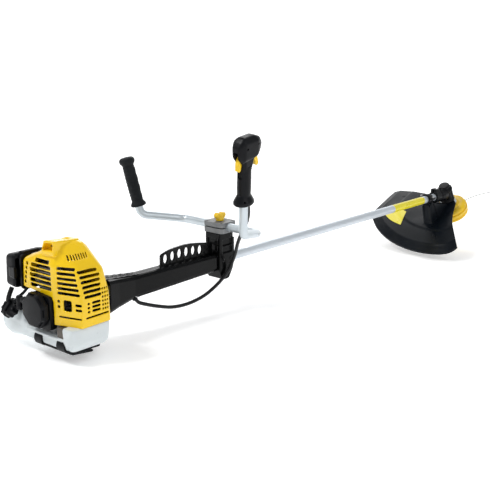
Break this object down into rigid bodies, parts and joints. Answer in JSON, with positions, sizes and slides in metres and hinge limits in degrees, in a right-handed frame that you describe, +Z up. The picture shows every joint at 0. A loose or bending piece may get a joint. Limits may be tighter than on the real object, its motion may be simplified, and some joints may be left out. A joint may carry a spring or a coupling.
{
  "type": "string trimmer",
  "caption": "Petrol string trimmer: finned engine under a yellow shroud, straight boom, two-hand handlebar, fan-shaped guard and round line head.",
  "frame": {"origin": "middle of the rear bar of the tank stand, at its base", "axes": "+X from the engine towards the line head, +Y to the operator's left, +Z up; the stand and the guard rim rest on z = 0"},
  "size_m": [2.0069, 0.504, 0.4891],
  "materials": {
    "cover_yellow": "glossy moulded nylon, deep yellow",
    "head_yellow": "satin moulded nylon, yellow",
    "black_plastic": "fine-textured black nylon",
    "black_rubber": "matt black rubber",
    "bar_aluminium": "anodised satin tube",
    "cast_alloy": "sand-blasted casting",
    "steel": "machined and lightly oiled",
    "tank_white": "milky translucent polyethylene",
    "nylon_line": "drawn clear nylon line",
    "bulb_clear": "clear soft rubber",
    "switch_red": "moulded red"
  },
  "bodies": {
    "chassis": {"cylinder_cover": "cover_yellow", "cylinder_block": "cast_alloy", "crankcase": "cast_alloy", "piston": "steel", "fan_housing": "black_plastic", "clutch_housing": "black_plastic", "muffler": "steel", "spark_plug": "steel", "plug_boot": "black_rubber", "carburettor": "cast_alloy", "primer_bulb": "bulb_clear", "air_filter_base": "black_plastic", "air_filter_cover": "black_plastic", "starter_housing": "black_plastic", "fuel_tank": "tank_white", "tank_stand": "black_plastic", "boom_tube": "bar_aluminium", "shaft_liner": "nylon_line", "boom_cover": "black_plastic", "clamp_column": "black_plastic", "clamp_lower_plate": "cast_alloy", "clamp_upper_plate": "cast_alloy", "throttle_cable_lower": "black_rubber", "guard_bracket": "black_plastic", "gearcase": "black_plastic", "guard": "black_plastic", "line_cutter": "steel"},
    "crank": {"crankshaft": "steel", "flywheel": "bar_aluminium", "clutch_rotor": "steel"},
    "drive": {"clutch_drum": "steel", "drive_shaft": "steel", "input_pinion": "steel"},
    "line_head": {"output_gear": "steel", "head_flange": "bar_aluminium", "head_housing": "head_yellow", "cutting_line_front": "nylon_line", "cutting_line_rear": "nylon_line"},
    "bump": {"spool": "black_plastic", "bump_knob": "head_yellow"},
    "handlebar_set": {"handlebar": "bar_aluminium", "left_grip": "black_rubber", "throttle_handle_inner": "black_plastic", "throttle_handle_outer": "black_plastic", "throttle_cable_upper": "black_rubber"},
    "trigger": {"throttle_trigger": "cover_yellow"},
    "lock": {"trigger_lock": "cover_yellow"},
    "switch": {"stop_switch": "switch_red"},
    "knob": {"clamp_knob": "cover_yellow"},
    "choke": {"choke_lever": "black_plastic"},
    "cap": {"fuel_cap": "black_plastic"},
    "pull_handle": {"starter_handle": "black_plastic"},
    "pulley": {"starter_pulley": "black_plastic"}
  },
  "joints": [
    {"name": "crank_spin", "type": "hinge", "parent": "chassis", "child": "crank", "pos_m": [0.16737, 0, 0.10865], "axis": [0.9985, 0, 0.0541], "continuous": true},
    {"name": "head_spin", "type": "hinge", "parent": "chassis", "child": "line_head", "pos_m": [1.79698, 0, 0.1969], "axis": [-0.5461, 0, 0.8377], "continuous": true},
    {"name": "drive_spin", "type": "hinge", "parent": "chassis", "child": "drive", "pos_m": [0.16737, 0, 0.10865], "axis": [0.9985, 0, 0.0541], "continuous": true},
    {"name": "bump_feed", "type": "slide", "parent": "line_head", "child": "bump", "axis": [-0.5461, 0, 0.8377], "range_m": [0, 0.004], "stiffness_N_per_m": 900, "springref_m": -0.003},
    {"name": "bar_tilt", "type": "hinge", "parent": "chassis", "child": "handlebar_set", "pos_m": [0.55382, 0, 0.22171], "axis": [0, 1, 0], "range_deg": [-12, 15], "deforming": ["throttle_cable_upper"]},
    {"name": "trigger_squeeze", "type": "hinge", "parent": "handlebar_set", "child": "trigger", "pos_m": [0.41814, -0.21879, 0.45236], "axis": [-0.035, 0.9862, 0.1618], "range_deg": [0, 14], "stiffness_Nm_per_rad": 0.15, "springref_deg": -11.46},
    {"name": "lock_squeeze", "type": "hinge", "parent": "handlebar_set", "child": "lock", "pos_m": [0.3786, -0.21681, 0.43172], "axis": [0.035, -0.9862, -0.1618], "range_deg": [0, 12], "stiffness_Nm_per_rad": 0.12, "springref_deg": -11.46},
    {"name": "stop_press", "type": "slide", "parent": "handlebar_set", "child": "switch", "axis": [0.035, -0.9862, -0.1618], "range_m": [0, 0.0015], "stiffness_N_per_m": 900, "springref_m": -0.001},
    {"name": "knob_turn", "type": "hinge", "parent": "chassis", "child": "knob", "pos_m": [0.5588, 0, 0.12985], "axis": [-0.0541, 0, 0.9985], "range_deg": [-90, 90]},
    {"name": "choke_swing", "type": "hinge", "parent": "chassis", "child": "choke", "pos_m": [0.00831, 0.0715, 0.17014], "axis": [0, 1, 0], "range_deg": [0, 45]},
    {"name": "cap_turn", "type": "hinge", "parent": "chassis", "child": "cap", "pos_m": [-0.02948, 0.11, 0.08196], "axis": [-0.7997, 0, 0.6004], "range_deg": [0, 180]},
    {"name": "starter_pull", "type": "slide", "parent": "chassis", "child": "pull_handle", "axis": [-0.7293, 0.4194, 0.5405], "range_m": [0, 0.045], "stiffness_N_per_m": 60, "springref_m": -0.02},
    {"name": "pulley_spin", "type": "hinge", "parent": "chassis", "child": "pulley", "pos_m": [-0.0295, 0, 0.10099], "axis": [0.9985, 0, 0.0541], "range_deg": [-115, 5]}
  ],
  "couplings": [
    {"joint": "drive_spin", "follows": "head_spin", "ratio": -1.3333},
    {"joint": "pulley_spin", "follows": "starter_pull", "rad_per_m": -41.667}
  ]
}
